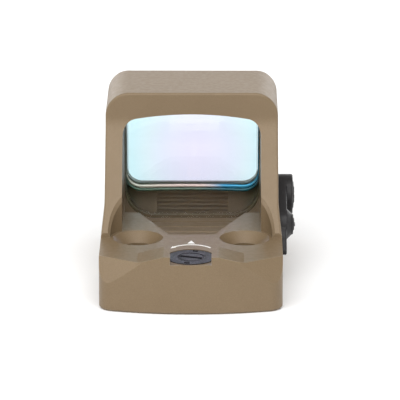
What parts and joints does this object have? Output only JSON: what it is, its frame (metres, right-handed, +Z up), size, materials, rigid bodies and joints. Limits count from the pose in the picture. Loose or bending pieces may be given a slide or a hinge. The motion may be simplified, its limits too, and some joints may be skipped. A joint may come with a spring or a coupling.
{
  "type": "red dot finder",
  "caption": "Compact open reflex sight used as a finder: low base with two countersunk holes, squared hood round a coated lens, elevation and windage dials, side keypad and battery tray.",
  "frame": {"origin": "midway between the two fixing screw holes, on the flat underside", "axes": "+X to the user's right, +Y towards the target along the line of sight, +Z up"},
  "size_m": [0.0326, 0.044, 0.0304],
  "materials": {
    "tan_anodised": "satin hard anodised",
    "coated_lens": "polished, reflective coating",
    "clear_glass": "polished",
    "lens_cement": "satin",
    "white_paint": "matte filled engraving",
    "dark_anodised": "satin dark anodised",
    "black_rubber": "satin moulded",
    "spring_steel": "bright",
    "bush_brass": "turned",
    "black_aluminium": "black anodised",
    "board_green": "solder mask",
    "contact_gold": "plated",
    "cell_steel": "nickel plated"
  },
  "bodies": {
    "root": {"housing": "tan_anodised", "lens_rear_element": "coated_lens", "lens_front_element": "coated_lens", "lens_bond": "lens_cement", "emitter_window": "clear_glass", "deck_mark": "white_paint", "elevation_bush": "bush_brass", "guide_pins": "spring_steel", "carriage_springs": "spring_steel", "windage_bush": "bush_brass", "detent_balls": "spring_steel", "bottom_cover": "black_aluminium", "cover_gasket": "black_rubber", "cover_screws": "spring_steel", "top_contact": "contact_gold", "rim_contact": "contact_gold", "keypad_boot": "black_rubber", "control_board": "board_green", "key_switches": "contact_gold"},
    "elevation": {"elevation_dial": "dark_anodised", "elevation_screw": "spring_steel"},
    "windage": {"windage_dial": "dark_anodised", "windage_screw": "spring_steel", "windage_clip": "spring_steel"},
    "carriage": {"emitter_carriage": "black_aluminium"},
    "holder": {"emitter_holder": "black_aluminium", "led_module": "bush_brass"},
    "nut": {"windage_nut": "bush_brass"},
    "tray": {"battery_tray": "tan_anodised", "battery_cell": "cell_steel", "tray_gasket": "black_rubber", "tray_screw": "dark_anodised"},
    "button_up": {"key_up": "black_rubber"},
    "button_down": {"key_down": "black_rubber"}
  },
  "joints": [
    {"name": "carriage_lift", "type": "slide", "parent": "root", "child": "carriage", "axis": [0, 0, 1], "range_m": [-0.00037, 0.00037], "deforming": ["carriage_springs"]},
    {"name": "elevation_turn", "type": "hinge", "parent": "root", "child": "elevation", "pos_m": [0, -0.0103, 0.0076], "axis": [0, 0, 1], "range_deg": [-270, 270]},
    {"name": "nut_shift", "type": "slide", "parent": "root", "child": "nut", "axis": [1, 0, 0], "range_m": [-0.00037, 0.00037]},
    {"name": "windage_turn", "type": "hinge", "parent": "root", "child": "windage", "pos_m": [0.014, -0.0039, 0.0056], "axis": [1, 0, 0], "range_deg": [-270, 270]},
    {"name": "holder_shift", "type": "slide", "parent": "carriage", "child": "holder", "axis": [1, 0, 0], "range_m": [-0.0004, 0.0004]},
    {"name": "tray_slide", "type": "slide", "parent": "root", "child": "tray", "axis": [-1, 0, 0], "range_m": [0, 0.024]},
    {"name": "key_up_press", "type": "slide", "parent": "root", "child": "button_up", "axis": [-1, 0, 0], "range_m": [0, 0.0003], "stiffness_N_per_m": 600, "springref_m": -0.0005},
    {"name": "key_down_press", "type": "slide", "parent": "root", "child": "button_down", "axis": [-1, 0, 0], "range_m": [0, 0.0003], "stiffness_N_per_m": 600, "springref_m": -0.0005}
  ],
  "couplings": [
    {"joint": "elevation_turn", "follows": "carriage_lift", "rad_per_m": -12566},
    {"joint": "windage_turn", "follows": "nut_shift", "rad_per_m": -12566},
    {"joint": "holder_shift", "follows": "nut_shift", "ratio": 1}
  ]
}
